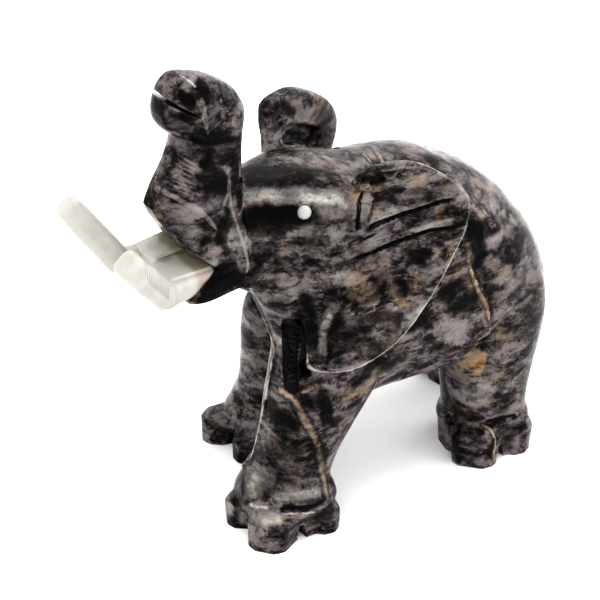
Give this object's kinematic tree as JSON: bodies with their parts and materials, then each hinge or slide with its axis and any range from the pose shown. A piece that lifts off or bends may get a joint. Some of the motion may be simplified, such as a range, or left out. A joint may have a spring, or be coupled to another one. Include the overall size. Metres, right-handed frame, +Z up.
{
  "type": "carved elephant sculpture",
  "caption": "Small carved marble elephant standing with its trunk raised, broad ears spread, with pale stone tusks and white bead eyes set into the dark stone.",
  "frame": {"origin": "bottom centre of the bounding box, on the plane of the four soles", "axes": "+Z up; the elephant looks along -Y, its length runs along Y and its left side is +X"},
  "size_m": [0.0684, 0.1476, 0.1334],
  "materials": {
    "dark_marble": "polished, mottled black, grey and tan",
    "pale_stone": "satin, slightly translucent",
    "white_bead": "satin"
  },
  "bodies": {
    "root": {"marble_elephant": "dark_marble", "tusk_left": "pale_stone", "tusk_right": "pale_stone", "eye_left": "white_bead", "eye_right": "white_bead"}
  },
  "joints": []
}
